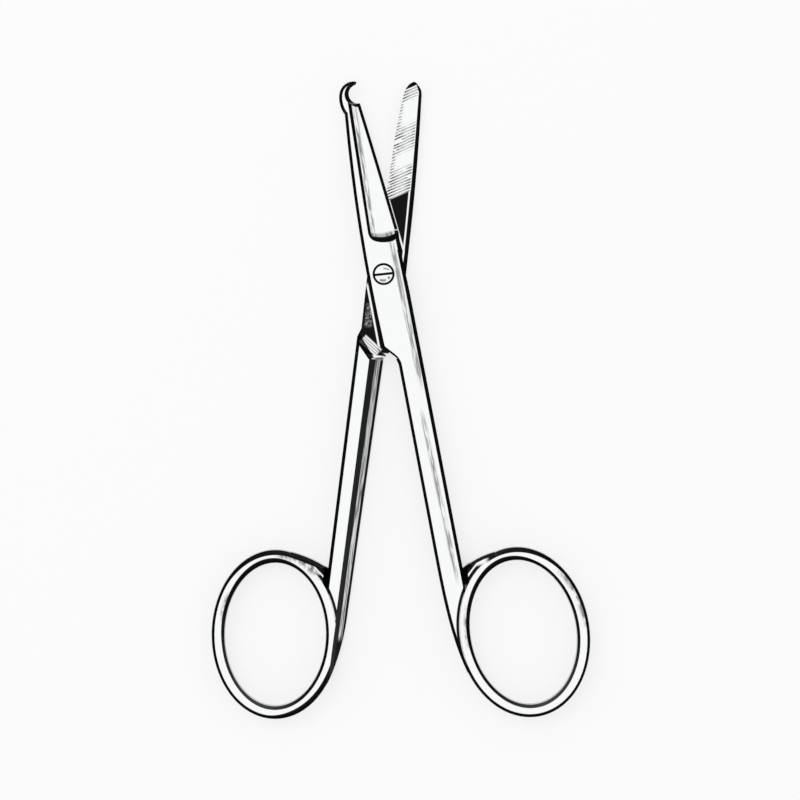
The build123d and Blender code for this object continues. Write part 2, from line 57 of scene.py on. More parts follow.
for thing in list(bpy.data.objects):
    known = thing.name in frame["nodes"] or thing in frame["bodies"].values()
    if not known:
        bpy.data.objects.remove(thing)

scene = bpy.context.scene
scene.view_settings.view_transform = "Standard"

# %% [markdown]
# ## The camera
# The scissors are drawn from straight above, as in an instrument catalogue, with no perspective to speak of.
# A long lens far away gives that view and still leaves a little depth at the rings. The drawing turns the
# pair slightly anticlockwise, so the camera is rolled the other way by the same angle.

# %% Set the camera
VIEW_WIDTH = 139.6 * MM
VIEW_CENTRE = Vector((2.0 * MM, -22.07 * MM, 3.6 * MM))
VIEW_ROLL = radians(-2.25)
LENS_MM = 160
SENSOR_MM = 36
NEAR_CLIP = 0.01

lens = bpy.data.cameras.new("catalogue_camera")
lens.lens = LENS_MM
lens.sensor_width = SENSOR_MM
lens.clip_start = NEAR_CLIP
camera = bpy.data.objects.new("catalogue_camera", lens)
camera.location = VIEW_CENTRE + Vector((0, 0, VIEW_WIDTH * LENS_MM / SENSOR_MM))
camera.rotation_euler = (0, 0, VIEW_ROLL)
scene.collection.objects.link(camera)
scene.camera = camera
print("camera height in mm:", round(camera.location.z / MM))

# %% [markdown]
# ## A way to write shaders
# A finish is a network of small nodes. Wired one by one they hide the idea, so two helpers let a finish be
# written as a sum. `Field` is one output of a node, a number that changes over the surface, and the usual
# signs work on it.

# %% Fields that can be added and multiplied
class Field:
    """A value that changes over a surface."""

    def __init__(self, finish, socket):
        self.finish = finish
        self.socket = socket

    def __add__(self, other):
        return self.finish.maths("ADD", self, other)

    def __radd__(self, other):
        return self.finish.maths("ADD", other, self)

    def __sub__(self, other):
        return self.finish.maths("SUBTRACT", self, other)

    def __rsub__(self, other):
        return self.finish.maths("SUBTRACT", other, self)

    def __mul__(self, other):
        return self.finish.maths("MULTIPLY", self, other)

    def __rmul__(self, other):
        return self.finish.maths("MULTIPLY", other, self)


print("a Field can be added, subtracted and multiplied")

# %% [markdown]
# `Finish` is a material being made. Its `node` method adds any node, with its settings first and then its
# inputs, which may be plain values or other fields. The others are the few things that these finishes do
# again and again: a soft step, a band, a row of lines, a noise, a distance and a mix of two colours. Most
# marks on the steel are a mask, 1 where the mark is and 0 elsewhere, and masks multiply to say "and".

# %% A finish under construction
SOFT_STEP = {"interpolation_type": "SMOOTHSTEP"}


class Finish:
    """A material, and the ways to add nodes to it."""

    def __init__(self, name):
        self.material = bpy.data.materials.new(name)
        self.material.use_nodes = True
        self.tree = self.material.node_tree
        self.tree.nodes.clear()

    def node(self, kind, settings=None, inputs=None, output=0):
        """Adds a node of any kind and gives one of its outputs."""
        made = self.tree.nodes.new(kind)
        for name, value in (settings or {}).items():
            setattr(made, name, value)
        for name, value in (inputs or {}).items():
            if isinstance(value, Field):
                self.tree.links.new(value.socket, made.inputs[name])
            else:
                made.inputs[name].default_value = value
        return Field(self, made.outputs[output])

    def close(self, surface):
        """Makes this field the surface of the material, and gives the material."""
        end = self.tree.nodes.new("ShaderNodeOutputMaterial")
        self.tree.links.new(surface.socket, end.inputs["Surface"])
        return self.material

    def maths(self, operation, *values):
        return self.node("ShaderNodeMath", {"operation": operation}, dict(enumerate(values)))

    def distance(self, across, along):
        """How far a place is, from its steps across and along."""
        return self.maths("SQRT", across * across + along * along)

    def rise(self, value, low, high):
        """0 where the value is under low, 1 over high, a soft step between. Low over high turns it round."""
        return self.node("ShaderNodeMapRange", SOFT_STEP, {"Value": value, "From Min": low, "From Max": high})

    def band(self, value, low, high, soft):
        """1 where the value lies between low and high, with soft ends."""
        return self.rise(value, low - soft, low + soft) * self.rise(value, high + soft, high - soft)

    def lines(self, value, pitch, share, soft=0.12):
        """Lines a pitch apart along the value, each as wide as this share of the pitch."""
        place = self.maths("FRACT", value * (1 / pitch))
        return self.band(place, 0.5 - share / 2, 0.5 + share / 2, soft)

    def most(self, *values):
        """The greatest of several masks, which says "or"."""
        found = values[0]
        for value in values[1:]:
            found = self.maths("MAXIMUM", found, value)
        return found

    def noise(self, vector, scale, detail=2.0, roughness=0.5):
        return self.node(
            "ShaderNodeTexNoise",
            {"noise_dimensions": "3D"},
            {"Vector": vector, "Scale": scale, "Detail": detail, "Roughness": roughness},
        )

    def mix(self, share, first, second):
        """A colour between two others."""
        return self.node("ShaderNodeMix", {"data_type": "RGBA"}, {0: share, 6: first, 7: second}, output=2)


print("a Finish can make soft steps, bands, lines, noises and mixes")

# %% [markdown]
# ## Where on the half a point lies
# Every mark on these scissors belongs to a place: the joint face is dark, the blade is ground across, the
# shank is polished along. Each half lies swung open by 8.5 degrees, so a Mapping node swings the point back
# until the half stands upright, and scales it to millimetres. After that, x is across the half, y is along
# it from the screw, and z is its height above the table.

# %% Points on an upright half, in millimetres
HALF_SWING = 8.5


def upright(finish, swing):
    """The point as a vector, with the half swung back by this many degrees."""
    place = finish.node("ShaderNodeTexCoord", output="Object")
    return finish.node(
        "ShaderNodeMapping",
        {"vector_type": "POINT"},
        {"Vector": place, "Rotation": (0, 0, radians(swing)), "Scale": (1 / MM, 1 / MM, 1 / MM)},
    )


def parts_of(finish, vector):
    """The x, y and z of a vector."""
    return [finish.node("ShaderNodeSeparateXYZ", None, {"Vector": vector}, output=n) for n in range(3)]


def stretched(finish, vector, turn, scale):
    """The same point in a turned and stretched pattern space, for marks that run one way."""
    turned = finish.node(
        "ShaderNodeMapping", {"vector_type": "POINT"}, {"Vector": vector, "Rotation": (0, 0, radians(turn))}
    )
    return finish.node("ShaderNodeMapping", {"vector_type": "POINT"}, {"Vector": turned, "Scale": scale})


def leaning(degrees, x, y):
    """Distance from a line through the screw that climbs at this many degrees."""
    turn = radians(degrees)
    return y * cos(turn) - x * sin(turn)


print("each half is swung back by", HALF_SWING, "degrees before it is marked")

# %% [markdown]
# A surface is also known by the way it faces. The height of its normal tells a flat top from a bevel or a
# wall, so marks can keep to the flats without naming them.

# %% How far the surface faces up
FLAT_LEAN = (0.93, 0.97)


def lean(finish):
    """1 on a flat top, 0 on a wall, less than 0 underneath."""
    normal = finish.node("ShaderNodeTexCoord", output="Normal")
    return parts_of(finish, normal)[2]


print("a flat leans no further than", FLAT_LEAN[0], "of upright")

# %% [markdown]
# ## Steel, and how to finish it
# All three pieces are the same stainless steel, so one function makes the metal and each piece adds its own
# marks. The metal is a Principled shader at full Metallic. A new instrument has been brushed along its
# length on a fine belt and then buffed, which leaves hair-fine lines, a few deeper ones, and cloudy patches
# where the buff pressed less. Those are three noises: two stretched along the half, one not. They stir the
# roughness and the bump, and very slightly the colour.

# %% Plain metal and the marks of the belt
STEEL = (0.80, 0.805, 0.81, 1)
WORN_STEEL = (0.62, 0.625, 0.63, 1)
BUFFED_ROUGHNESS = 0.20
GRAZING_TINT = (0.75, 0.75, 0.75, 1)
BUMP_STRENGTH = 0.6
FINE_LINES = (9.0, 0.35, 9.0)
DEEP_LINES = (3.0, 0.06, 3.0)
CLOUD_SCALE = 0.35


def metal(finish, colour, roughness, height):
    """Closes a finish: metal of this colour and roughness, its surface raised by height, in millimetres."""
    bump = {"Strength": BUMP_STRENGTH, "Distance": MM, "Height": height}
    return finish.close(
        finish.node(
            "ShaderNodeBsdfPrincipled",
            None,
            {
                "Base Color": colour,
                "Metallic": 1.0,
                "Roughness": roughness,
                "Specular Tint": GRAZING_TINT,
                "Normal": finish.node("ShaderNodeBump", None, bump),
            },
        )
    )


def belt_marks(finish, point):
    """Fine and deeper lines left by a belt along the half, and cloudy patches left by the buff."""
    fine = finish.noise(stretched(finish, point, 0, FINE_LINES), 1.0, detail=3.0, roughness=0.6)
    deep = finish.noise(stretched(finish, point, 0, DEEP_LINES), 1.0, detail=1.0)
    cloud = finish.noise(point, CLOUD_SCALE)
    return fine, deep, cloud


print("buffed steel has a roughness of", BUFFED_ROUGHNESS)

# %% [markdown]
# ## Burnished edges
# The bevels along every edge are narrow, bright-cut and then burnished, so they are the smoothest part of
# the scissors. Seen from above they mirror the dark foot of the room, and their colour is also painted darker
# as a painted shade, so they draw a crisp line round each half. A mask finds them by how far they lean, which
# works on any edge without naming it.

# %% The mask and tone of the edges
EDGE_LEAN = (0.66, 0.93)
# painted shade: the edges' colour, darker than the steel so that they outline each half
EDGE_PAINTED_SHADE = (0.30, 0.30, 0.31, 1)
EDGE_ROUGHNESS = 0.09


def edges(finish, up):
    """1 on the bevels along the front edges."""
    return finish.band(up, *EDGE_LEAN, soft=0.02)


print("an edge leans between", EDGE_LEAN, "of upright")

# %% [markdown]
# ## Painted black shade
# A near black is painted where the scissors would lie in shade or mirror something dark: on the joint face,
# in the long bevel, at the foot of each step, and in the recesses named below. Streaks and pencil-fine
# strokes of the same black lie along the shanks. The grey tone is painted shade too on the halves, and the
# colour of real scuffs on the screw. `strokes` makes such strokes: a noise stretched along one direction, cut
# off sharply.

# %% Black and grey tones, and strokes
# painted shade: near black for recesses and steep faces
PAINTED_SHADE_BLACK = (0.008, 0.008, 0.009, 1)
# grey painted shade on the halves; on the screw, the colour of real scuffs
SHADE_AND_SCUFF_GREY = (0.13, 0.13, 0.135, 1)
CUT_GREY = (0.04, 0.04, 0.042, 1)
BLACK_ROUGHNESS = 0.45


def strokes(finish, point, turn, scale, low=0.42, high=0.60):
    """Uneven strokes that run one way."""
    return finish.rise(finish.noise(stretched(finish, point, turn, scale), 1.0), low, high)


print("black scale has a roughness of", BLACK_ROUGHNESS)

# %% [markdown]
# ## One finish out of many masks
# Both halves carry the same layers, in this order: steel stirred by the belt, grey painted shade, cuts,
# burnished edges painted darker as shade, and the painted black shade over all. Each layer also changes how
# rough the steel is. The belt's lines stand up, and the cuts and grooves are sunk, by some thousandths of a
# millimetre.

# %% Lay the marks over one another
CLOUD_SHARE = 0.10
DEEP_SHARE = 0.06
STIRRED_ROUGHNESS = 0.10
BELT_HEIGHT = 0.004
CUT_DEPTH = 0.01
GROOVE_DEPTH = 0.02


def half_finish(finish, belt, grey, edge, black, groove, cuts=None):
    """Closes the finish of a half, from its belt marks and the masks of its other marks."""
    fine, deep, cloud = belt
    shade = finish.mix(cloud * CLOUD_SHARE + deep * DEEP_SHARE, STEEL, WORN_STEEL)
    # grey painted shade
    shade = finish.mix(grey, shade, SHADE_AND_SCUFF_GREY)
    height = BELT_HEIGHT * fine + BELT_HEIGHT * deep - GROOVE_DEPTH * groove
    if cuts is not None:
        shade = finish.mix(cuts, shade, CUT_GREY)
        height = height - CUT_DEPTH * cuts
    # painted shade: the edges are darkened
    shade = finish.mix(edge, shade, EDGE_PAINTED_SHADE)
    # painted black shade over all
    shade = finish.mix(black, shade, PAINTED_SHADE_BLACK)

    roughness = BUFFED_ROUGHNESS + STIRRED_ROUGHNESS * (fine - 0.5) + STIRRED_ROUGHNESS * (cloud - 0.5)
    roughness = roughness + edge * (EDGE_ROUGHNESS - BUFFED_ROUGHNESS)
    roughness = roughness + black * (BLACK_ROUGHNESS - BUFFED_ROUGHNESS)
    return metal(finish, shade, roughness, height)


print("cuts are", CUT_DEPTH, "mm deep and grooves", GROOVE_DEPTH)

# %% [markdown]
# ## The finger rings
# A ring is an oval, so a point near it is best named by its distance from the oval. Dividing the place by
# the two half widths turns the oval into a circle of radius 1. What is left over 1, times a middle radius,
# is the distance from the edge in millimetres, near enough this close to it.

# %% Distances from a ring
RING_BAND = 2.4


def ring_place(finish, x, y, ring, half_width, half_length):
    """Place round an oval as it would be round a circle of radius 1, and the distance from its edge in mm."""
    turn = radians(ring["tilt"])
    from_x, from_y = x - ring["centre"][0], y - ring["centre"][1]
    across = (from_x * cos(turn) + from_y * sin(turn)) * (1 / half_width)
    along = (from_y * cos(turn) - from_x * sin(turn)) * (1 / half_length)
    return across, along, (finish.distance(across, along) - 1.0) * ((half_width + half_length) / 2)


print("a ring's band is", RING_BAND, "mm wide")

# %% [markdown]
# Each ring is a dictionary of its sizes and of the places of its marks, in millimetres on the upright half:
#
# - `centre`, `tilt` and `hole` place the oval, with the hole's width and length.
# - `free_x` and `free_y` say where the outer edge comes free of the shank, and `heavy` how much wider its
#   black is at the lower right.
# - `inner_patch`, `outer_patch` and `outer_patch_x` bound the two soft dark patches.
# - `groove_side`, `groove_top` and `groove_foot` say where the groove beside the shank fades out.
# - `crotch` is the corner between ring and shank, and `web` holds the lines along the web there, as their
#   run and their level, inside `web_x` and `web_y`.
#
# A pair of numbers says where a mask is 0 and where it is 1, or where a band starts and ends. A third one
# says how soft the ends of the band are. The same holds for the marks of the halves and the screw.

# %% The two rings
PLAIN_RING = {
    "centre": (-11.96, -64.62),
    "tilt": 5.9,
    "hole": (17.6, 24.9),
    "free_x": (-9.0, -10.5),
    "free_y": (-66.0, -67.0),
    "heavy": 0.42,
    "inner_patch": (-63.1, -58.6),
    "outer_patch": (-53.6, -49.0),
    "outer_patch_x": (-13.0, -5.4),
    "groove_side": (-9.5, -8.5),
    "groove_top": (-53.0, -53.6),
    "groove_foot": (-68.0, -67.0),
    "crotch": (-3.9, -53.8),
    "web": ((0.268, -53.80), (0.857, -57.50)),
    "web_x": (-10.9, -4.0, 0.4),
    "web_y": (-54.2, -50.0, 0.1),
}
HOOK_RING = {
    "centre": (12.35, -66.0),
    "tilt": 0.0,
    "hole": (18.4, 25.3),
    "free_x": (8.0, 9.0),
    "free_y": (-71.0, -72.0),
    "heavy": 0.0,
    "inner_patch": (-66.3, -59.8),
    "outer_patch": (-66.8, -57.0),
    "outer_patch_x": (18.0, 26.0),
    "groove_side": (9.0, 8.0),
    "groove_top": (-52.7, -53.3),
    "groove_foot": (-72.0, -71.0),
    "crotch": (4.0, -53.9),
    "web": ((-0.277, -54.15), (-0.90, -58.40)),
    "web_x": (4.2, 9.4, 0.2),
    "web_y": (-54.6, -50.0, 0.1),
}
print("the rings' holes are", PLAIN_RING["hole"], "and", HOOK_RING["hole"], "mm")

# %% [markdown]
# Black painted shade lies along both edges of a ring's flat. It is wider at the lower right of the hole and
# at the top of the outside.

# %% The black along a ring's edges
FLAT_INSET = 0.60
THICKENING = 0.26
DIAGONAL = 0.7
INNER_TURN = (0.3, 1.0)
TOP_TURN = (0.45, 1.0)
HEAVY_TURN = (0.55, 0.95)
LINE_SOFT = 0.04


def ring_lines(finish, ring, hole_place, outer_place, free):
    """1 along the inner edge of a ring, and along its outer edge where that is free of the shank."""
    across, along, inside = hole_place
    outer_across, outer_along, outside = outer_place
    inner_width = FLAT_INSET + THICKENING * finish.rise(along * DIAGONAL - across * DIAGONAL, *INNER_TURN)
    outer_width = FLAT_INSET + THICKENING * finish.rise(outer_along, *TOP_TURN)
    lower_right = finish.rise(outer_across * DIAGONAL - outer_along * DIAGONAL, *HEAVY_TURN)
    outer_width = outer_width + ring["heavy"] * lower_right
    # painted black shade along the inner and outer edges
    inner_line = finish.rise(inside - inner_width, LINE_SOFT, -LINE_SOFT)
    outer_line = finish.rise(outside + outer_width, -LINE_SOFT, LINE_SOFT) * free
    return finish.most(inner_line, outer_line)


print("the black is", FLAT_INSET, "mm wide, and up to", FLAT_INSET + THICKENING)

# %% [markdown]
# Two soft patches of painted grey shade lie on each ring, one at the hole and one at the outside. Where the
# ring crosses its shank, a shallow groove is sunk in the bump, and painted black shade fills it.

# %% The soft patches, the groove, and all the marks of a ring
GROOVE = (-0.54, 0.02, 0.06)
ON_BAND = ((0.2, 0.3), (0.0, -0.1))
PATCH_REACH = (FLAT_INSET + 1.1, FLAT_INSET + 0.2)
PATCH_ENDS = 1.2
PATCH_SIDES = 0.8
PATCH_SHARE = 0.9
PATCH_STROKES = (1.5, 0.7, 1.0)


def ring_patches(finish, x, y, point, ring, inside, outside):
    """The soft patches beside the hole and beside the outside."""
    # painted grey shade patches
    soft = strokes(finish, point, 0, PATCH_STROKES, 0.30, 0.62)
    middle, (far, near) = ring["centre"][0], PATCH_REACH
    inner = finish.band(y, *ring["inner_patch"], PATCH_ENDS) * finish.rise(x, middle, middle - 1.0)
    outer = finish.band(y, *ring["outer_patch"], PATCH_ENDS)
    outer = outer * finish.band(x, *ring["outer_patch_x"], PATCH_SIDES) * finish.rise(outside, -far, -near)
    inner = inner * finish.rise(inside, far, near)
    return finish.most(inner, outer) * soft * PATCH_SHARE


def ring_marks(finish, x, y, point, up, ring):
    """The groove beside the shank, the black lines, and the soft patches of a ring, as masks."""
    half_width, half_length = ring["hole"][0] / 2, ring["hole"][1] / 2
    hole_place = ring_place(finish, x, y, ring, half_width, half_length)
    outer_place = ring_place(finish, x, y, ring, half_width + RING_BAND, half_length + RING_BAND)
    inside, outside = hole_place[2], outer_place[2]
    flat = finish.rise(up, *FLAT_LEAN)
    on_ring = finish.rise(inside, *ON_BAND[0]) * finish.rise(outside, *ON_BAND[1]) * flat
    free = finish.most(finish.rise(x, *ring["free_x"]), finish.rise(y, *ring["free_y"]))

    # the groove: sunk in the bump, and painted black as shade in the crease
    groove = finish.band(outside, *GROOVE) * flat * finish.rise(x, *ring["groove_side"])
    groove = groove * finish.rise(y, *ring["groove_top"]) * finish.rise(y, *ring["groove_foot"])
    lines = ring_lines(finish, ring, hole_place, outer_place, free) * on_ring
    return groove, lines, ring_patches(finish, x, y, point, ring, inside, outside) * on_ring


print("the patches reach", PATCH_REACH[0], "mm in from the edge")

# %% [markdown]
# A thin web fills the corner between ring and shank. Its walls, its corner and a line along its edge are
# painted black shade.

# %% The black in the corner between ring and shank
CROTCH_SIZE = 2.2
WALL_LEAN = (0.93, 0.90)


def crotch_black(finish, x, y, up, ring):
    """Black on the walls near the corner, and on the flat of the web above its sloping lines."""
    away = finish.distance(x - ring["crotch"][0], y - ring["crotch"][1])
    walls = finish.rise(away, CROTCH_SIZE, CROTCH_SIZE - 0.3) * finish.rise(up, *WALL_LEAN)
    over = [finish.rise(y + x * run, level - LINE_SOFT, level + LINE_SOFT) for run, level in ring["web"]]
    web = finish.most(*over) * finish.rise(up, *FLAT_LEAN)
    return finish.most(walls, web * finish.band(x, *ring["web_x"]) * finish.band(y, *ring["web_y"]))


print("the black corner reaches", CROTCH_SIZE, "mm")

# %% [markdown]
# ## The plain half
# This half lies underneath and shows the most kinds of work. Its joint face is painted black as shade, with
# a painted highlight line along the spine and another beside the other half's edge, and a painted highlight
# patch below the screw. Past the slanting ride line the blade is ground across in fine parallel cuts,
# deepest along both sides.

# %% Points and faces of the plain half
RIDE_HEEL_Y = 13.3
RIDE_SLOPE = 30.0
JOINT_LEVEL = (1.60, 1.90, 0.03)
JOINT_LEAN = (0.80, 0.90)
JOINT_FOOT = (-13.8, -13.6)

plain = Finish("plain_half_steel")
point = upright(plain, HALF_SWING)
x, y, z = parts_of(plain, point)
up = lean(plain)

along_ride = leaning(RIDE_SLOPE, x, y)
ride_line = RIDE_HEEL_Y * cos(radians(RIDE_SLOPE))
facing = plain.band(z, *JOINT_LEVEL) * plain.rise(up, *JOINT_LEAN)
below_ride = plain.rise(along_ride, ride_line + 0.05, ride_line - 0.05)
joint_face = facing * below_ride * plain.rise(y, *JOINT_FOOT)
print("the ride line crosses the half", round(ride_line, 1), "mm above the screw")

# %% Bright lines on the joint face
SPINE_LINE = (2.90, 3.19)
SPINE_BOW = 0.00055
SPINE_START = (1.0, 2.0)
OPENING = 2 * HALF_SWING
GLINT_LEFT = (-3.32, -2.98)
GLINT_RIGHT = (4.38, 4.70)
GLINT_RUN = 0.0947
GLINT_SOFT = 0.05

# painted highlights: lines along the spine and beside the other half's edge, left bright in the painted black
from_spine = x + y * y * SPINE_BOW
past_screw = plain.rise(y, *SPINE_START)
spine_line = plain.band(from_spine, *SPINE_LINE, GLINT_SOFT) * past_screw
spine_black = facing * plain.rise(from_spine, SPINE_LINE[1], SPINE_LINE[1] + 0.08) * past_screw
turn = radians(OPENING)
across_glint = x * cos(turn) + y * sin(turn)
along_glint = y * cos(turn) - x * sin(turn)
glint_line = plain.most(
    plain.band(across_glint, *GLINT_LEFT, GLINT_SOFT) * plain.rise(y, -1.5, -2.5),
    plain.band(across_glint + along_glint * GLINT_RUN, *GLINT_RIGHT, GLINT_SOFT) * plain.rise(y, -1.0, 0.0),
)
print("the other half's edge rubs a line on the joint face at", OPENING, "degrees")

# %% The painted highlight patch, and the painted black shade of the joint face
HIGHLIGHT_CENTRE = (-1.76, -7.4)
HIGHLIGHT_HALF = (0.8, 2.0)
HIGHLIGHT_GRAIN = 7.0
HIGHLIGHT_SHARE = 0.40

# a painted highlight patch below the screw, broken up by noise
highlight_across = (x - HIGHLIGHT_CENTRE[0]) * (1 / HIGHLIGHT_HALF[0])
highlight = plain.rise(highlight_across, 1.0, 0.5) * plain.rise(highlight_across, -1.0, -0.5)
highlight = highlight * plain.band(y, HIGHLIGHT_CENTRE[1] - HIGHLIGHT_HALF[1], HIGHLIGHT_CENTRE[1] + HIGHLIGHT_HALF[1], 0.3)
highlight = highlight * plain.rise(plain.noise(point, HIGHLIGHT_GRAIN, detail=1.0), 0.42, 0.66)
# the joint face: painted black shade, except on the painted highlights
joint_black = joint_face * (1.0 - plain.most(spine_line, glint_line, highlight * HIGHLIGHT_SHARE))
print("the worn patch is", 2 * HIGHLIGHT_HALF[1], "mm long")

# %% [markdown]
# The cuts across the blade follow the ride line. They waver a little, break off here and there, and are
# strongest in three bands and near the edges.

# %% The blade, ground across
CUT_PITCH = 0.46
CUT_SHARE = 0.50
CUT_WOBBLE = 0.22
CUT_BANDS = ((11.2, 15.8, 0.6), (18.3, 22.2, 0.7), (26.2, 29.6, 0.5))
CUT_BREAKS = (0.9, 1.6, 1.0)
EDGE_LINE = (-1.58, 0.04)
NEAR_EDGE = (2.0, 0.5)
NEAR_SPINE = (2.4, 3.9)
FEATHER = (1.0, 0.2)

from_edge = x - EDGE_LINE[0] - y * EDGE_LINE[1]
wobble = plain.noise(point, 0.5, detail=1.0) * CUT_WOBBLE
cuts = plain.lines(along_ride + wobble, CUT_PITCH, CUT_SHARE)
sides = plain.most(plain.rise(from_edge, *NEAR_EDGE), plain.rise(from_edge, *NEAR_SPINE))
bands = plain.most(*[plain.band(along_ride, *band) for band in CUT_BANDS])
ground = facing * (1.0 - below_ride) * plain.rise(from_spine, SPINE_LINE[1], SPINE_LINE[1] - 0.2)
depth = plain.most(bands * (0.55 + 0.45 * sides), plain.rise(from_edge, *FEATHER) * 0.8)
cut_lines = ground * cuts * depth * strokes(plain, point, -RIDE_SLOPE, CUT_BREAKS, 0.32, 0.48)
print("the cuts on the blade are", CUT_PITCH, "mm apart")

# %% [markdown]
# Below the joint face a low ramp climbs to the shoulder. One slanting strip of it keeps the steel colour,
# with lines of painted grey shade in line with its long sides. The rest is painted black shade.

# %% The ramp
RAMP_Z = (1.84, 3.5, 0.03)
RAMP_Y = (-14.2, -9.5, 0.1)
RAMP_LEAN = (0.05, 0.12)
RAMP_SLOPE = -36.15
RAMP_LINES = (-11.55, -9.85, 0.05)
RAMP_ENDS = (4.85, 8.60, 0.15)
RAMP_PITCH = 0.42
RAMP_HATCH_SHARE = 0.42
RAMP_HATCH_TONE = 0.75

ramp = plain.band(z, *RAMP_Z) * plain.band(y, *RAMP_Y) * plain.rise(up, *RAMP_LEAN)
on_ramp = leaning(RAMP_SLOPE, x, y)
ramp_bright = plain.band(on_ramp, *RAMP_LINES) * plain.band(leaning(RAMP_SLOPE - 90, x, y), *RAMP_ENDS)
# painted grey shade lines along the ramp
ramp_hatch = plain.lines(on_ramp + wobble * 0.3, RAMP_PITCH, RAMP_HATCH_SHARE) * RAMP_HATCH_TONE
ramp_lines = plain.most(ramp, joint_face) * ramp_bright * ramp_hatch
slope_black = plain.most(joint_black, ramp) * (1.0 - ramp_bright)
print("the ramp's cuts are", RAMP_PITCH, "mm apart")

# %% [markdown]
# The long bevel inside the shank runs from the shoulder to the ring. Its upper strip is painted black shade.
# The flatter strip under it has lengthwise streaks of steel colour in the painted black, a painted
# reflection, between two black lines. Below the middle of the ring all of it is painted black again.

# %% The long bevel
BROW_X = -0.86
BROW_TOP_Y = -14.75
BROW_RUN = 0.02
BEVEL_LEAN = ((0.92, 0.86), (-0.2, -0.1))
STREAK_Z = (0.95, 1.80, 0.06)
STREAK_END = (-65.0, -63.4)
STREAKS = (5.0, 0.16, 5.0)
STREAK_SHARE = 0.75

past_brow = x - BROW_X - (y - BROW_TOP_Y) * BROW_RUN
long_bevel = plain.rise(past_brow, -0.08, 0.0) * plain.rise(y, BROW_TOP_Y - 0.1, BROW_TOP_Y - 0.3)
long_bevel = long_bevel * plain.rise(up, *BEVEL_LEAN[0]) * plain.rise(up, *BEVEL_LEAN[1])
streak_strip = plain.band(z, *STREAK_Z) * plain.rise(y, *STREAK_END)
streaks = strokes(plain, point, 0, STREAKS, 0.44, 0.58)
# painted black shade, with streaks of painted reflection in the lower strip
bevel_black = long_bevel * (1.0 - streak_strip * (1.0 - STREAK_SHARE * streaks))
print("the long bevel breaks at a height of", STREAK_Z[1], "mm")

# %% [markdown]
# All the masks of this half now meet: its ring and the corner beside it are marked, the ground faces are
# kept out of the burnished edges, and the masks are joined into black, grey and cuts.

# %% Put the plain half's finish together
groove, ring_black, patches = ring_marks(plain, x, y, point, up, PLAIN_RING)
corner = crotch_black(plain, x, y, up, PLAIN_RING)
edge = edges(plain, up) * (1.0 - long_bevel) * (1.0 - ramp)
black = plain.most(slope_black, spine_black, bevel_black, groove, ring_black, corner)
grey = plain.most(ramp_lines, patches)
plain_steel = half_finish(plain, belt_marks(plain, point), grey, edge, black, groove, cut_lines)
print("the plain half's finish has", len(plain.tree.nodes), "nodes")

# %% [markdown]
# ## The hook half
# This half lies on top. Its front is the brightest surface of all, with a strip of soft grey strokes along
# the right edge, a painted reflection of the rounded edge.

# %% Strokes along the right edge
STRIP_UPPER = (-19.5, 7.0, 2.5)
STRIP_UPPER_X = (2.02, 2.86, 0.26)
STRIP_LOWER = (-54.0, -26.0, 2.5)
STRIP_LOWER_X = (2.00, 2.76, 0.25)
STRIP_LOWER_Y = 40.0
STRIP_RUN = 0.022
STRIP_STROKES = (5.0, 0.30, 1.0)
STRIP_SHARE = 0.8
FRONT_Z = (3.3, 3.4)

hook = Finish("hook_half_steel")
point = upright(hook, -HALF_SWING)
x, y, z = parts_of(hook, point)
up = lean(hook)
flat = hook.rise(up, *FLAT_LEAN)

strip = hook.most(
    hook.band(y, *STRIP_UPPER) * hook.band(x + y * STRIP_RUN, *STRIP_UPPER_X),
    hook.band(y, *STRIP_LOWER) * hook.band(x + (y + STRIP_LOWER_Y) * STRIP_RUN, *STRIP_LOWER_X),
)
# painted reflection of the rounded edge, in grey strokes
edge_strokes = strip * strokes(hook, point, 0, STRIP_STROKES, 0.34, 0.58)
edge_strokes = edge_strokes * hook.rise(z, *FRONT_Z) * flat * STRIP_SHARE
print("strokes lie from", STRIP_LOWER[0], "to", STRIP_UPPER[1], "mm along the right edge")

# %% [markdown]
# The blade has a sunk facet. Strokes of painted grey shade run beside its wall, and its round heel has a
# black line of painted shade with a soft grey painted shade above it.

# %% Strokes and the heel in the facet
FACET_Z = (2.0, 3.3, 0.05)
FACET_FOOT = (5.8, 6.0)
FACET_TOP = (-0.10, 29.5)
FACET_RUN = 0.0334
WALL_STRIP = (0.15, 0.80, 0.30)
WALL_STROKES = (3.0, 0.35, 1.0)
WALL_SHARE = 0.85
HEEL_Y = 6.38
HEEL_MIDDLE = 1.6
HEEL_BOW = 0.10
HEEL_SHADE = (0.95, 0.30)
HEEL_END = (3.3, 2.7)
HEEL_STROKES = (4.0, 0.5, 1.0)

in_facet = hook.band(z, *FACET_Z) * flat * hook.rise(y, *FACET_FOOT)
from_wall = x - FACET_TOP[0] - (y - FACET_TOP[1]) * FACET_RUN
beside_wall = hook.band(from_wall, *WALL_STRIP) * strokes(hook, point, 0, WALL_STROKES, 0.36, 0.60)
from_middle = x - HEEL_MIDDLE
over_heel = y - from_middle * from_middle * HEEL_BOW - HEEL_Y
# painted shade above the heel
heel_shade = hook.rise(over_heel, *HEEL_SHADE) * (0.6 + 0.4 * strokes(hook, point, 0, HEEL_STROKES))
heel_line = in_facet * hook.rise(over_heel, 0.05, -0.05)
facet_strokes = in_facet * hook.most(beside_wall * WALL_SHARE, heel_shade * hook.rise(x, *HEEL_END))
print("the facet's heel lies", HEEL_Y, "mm above the screw")

# %% [markdown]
# Black painted shade lies where the notch's flare meets the flat, on the tip of the beak, and along the edge
# of the joint plate.

